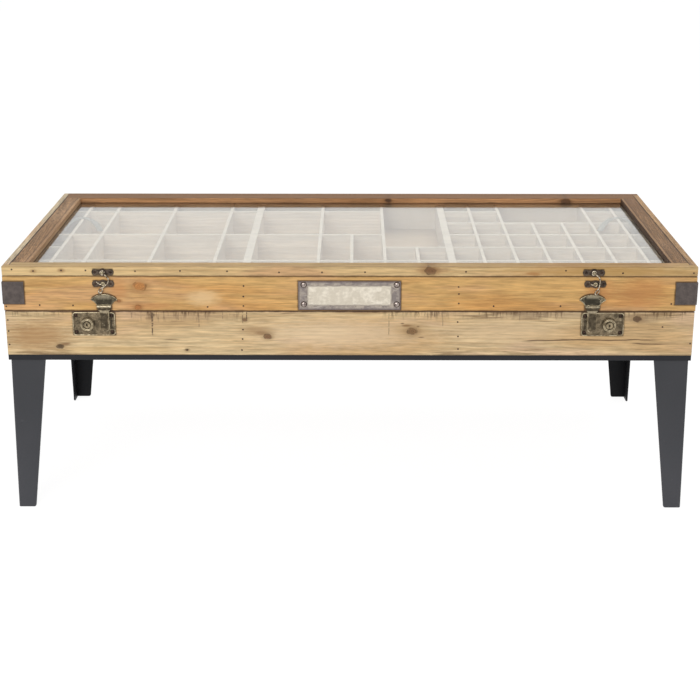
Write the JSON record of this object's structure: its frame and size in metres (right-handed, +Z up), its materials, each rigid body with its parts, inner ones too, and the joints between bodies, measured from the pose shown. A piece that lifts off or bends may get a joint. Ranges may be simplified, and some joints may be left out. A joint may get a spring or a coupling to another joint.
{
  "type": "coffee table",
  "caption": "Two-storey pine case with a compartmented tray under a hinged glass lid, on folded steel legs.",
  "frame": {"origin": "on the floor under the middle of the table's bounding box", "axes": "+X along the table's length to the right as seen from its front, the front with the locks faces -Y, +Z up"},
  "size_m": [1.223, 0.5654, 0.462],
  "materials": {
    "dark_steel": "dark grey satin steel, slightly worn",
    "lower_pine": "pale tan old pine with knots, nails and cracks",
    "floor_board": "plain brown board",
    "upper_pine": "honey-coloured old pine with knots and nails",
    "washed_divider": "white-washed thin pine",
    "lid_pine": "yellowish to reddish brown old pine",
    "clear_glass": "clear float glass with a strong reflection",
    "aged_bronze": "dark aged bronze with bright worn rims",
    "bright_wire": "wire with bright worn edges",
    "worn_zinc": "worn grey metal, bare cream panel"
  },
  "bodies": {
    "base": {"leg_front_left": "dark_steel", "leg_front_right": "dark_steel", "leg_rear_left": "dark_steel", "leg_rear_right": "dark_steel", "steel_frame": "dark_steel", "lower_front_board": "lower_pine", "lower_rear_board": "lower_pine", "lower_left_board": "lower_pine", "lower_right_board": "lower_pine", "lower_floor": "floor_board", "lower_partition_left": "lower_pine", "lower_partition_right": "lower_pine", "lock_plate_left": "aged_bronze", "lock_plate_right": "aged_bronze", "lock_bosses": "aged_bronze", "case_hinge_lower_leaves": "aged_bronze"},
    "upper_case": {"upper_front_board": "upper_pine", "upper_rear_board": "upper_pine", "upper_left_board": "upper_pine", "upper_right_board": "upper_pine", "tray_floor": "floor_board", "tray_partition_left": "washed_divider", "tray_partition_right": "washed_divider", "dividers_left": "washed_divider", "dividers_middle": "washed_divider", "dividers_right": "washed_divider", "front_corner_plates": "aged_bronze", "rear_corner_plates": "aged_bronze", "name_plate": "worn_zinc", "hasp_head_left": "aged_bronze", "hasp_head_right": "aged_bronze", "hasp_pins": "aged_bronze", "hook_keepers": "aged_bronze", "case_hinge_upper_leaves": "aged_bronze", "lid_hinge_lower_leaves": "aged_bronze"},
    "glass_lid": {"lid_front_rail": "lid_pine", "lid_rear_rail": "lid_pine", "lid_left_rail": "lid_pine", "lid_right_rail": "lid_pine", "lid_front_trim": "lid_pine", "lid_rear_trim": "lid_pine", "lid_left_trim": "lid_pine", "lid_right_trim": "lid_pine", "glass_pane": "clear_glass", "glass_stops": "lid_pine", "hook_plates": "aged_bronze", "lid_hinge_upper_leaves": "aged_bronze"},
    "hook_left_arm": {"hook_left": "bright_wire"},
    "hook_right_arm": {"hook_right": "bright_wire"},
    "hasp_left_flap": {"hasp_left": "aged_bronze"},
    "hasp_right_flap": {"hasp_right": "aged_bronze"},
    "lock_plug_left_core": {"lock_plug_left": "aged_bronze"},
    "lock_plug_right_core": {"lock_plug_right": "aged_bronze"}
  },
  "joints": [
    {"name": "case_hinge", "type": "hinge", "parent": "base", "child": "upper_case", "pos_m": [0, 0.279, 0.3802], "axis": [-1, 0, 0], "range_deg": [0, 90]},
    {"name": "lid_hinge", "type": "hinge", "parent": "upper_case", "child": "glass_lid", "pos_m": [0, 0.279, 0.4442], "axis": [-1, 0, 0], "range_deg": [0, 95]},
    {"name": "hook_left_swing", "type": "hinge", "parent": "glass_lid", "child": "hook_left_arm", "pos_m": [-0.4326, -0.2798, 0.4517], "axis": [0, -1, 0], "range_deg": [0, 90]},
    {"name": "hook_right_swing", "type": "hinge", "parent": "glass_lid", "child": "hook_right_arm", "pos_m": [0.4278, -0.2798, 0.4517], "axis": [0, -1, 0], "range_deg": [0, 90]},
    {"name": "hasp_left_swing", "type": "hinge", "parent": "upper_case", "child": "hasp_left_flap", "pos_m": [-0.4326, -0.2779, 0.389], "axis": [-1, 0, 0], "range_deg": [0, 110]},
    {"name": "hasp_right_swing", "type": "hinge", "parent": "upper_case", "child": "hasp_right_flap", "pos_m": [0.4278, -0.2779, 0.389], "axis": [-1, 0, 0], "range_deg": [0, 110]},
    {"name": "lock_plug_left_turn", "type": "hinge", "parent": "base", "child": "lock_plug_left_core", "pos_m": [-0.4639, -0.28, 0.356], "axis": [0, -1, 0], "range_deg": [0, 90]},
    {"name": "lock_plug_right_turn", "type": "hinge", "parent": "base", "child": "lock_plug_right_core", "pos_m": [0.4591, -0.28, 0.356], "axis": [0, -1, 0], "range_deg": [0, 90]}
  ]
}
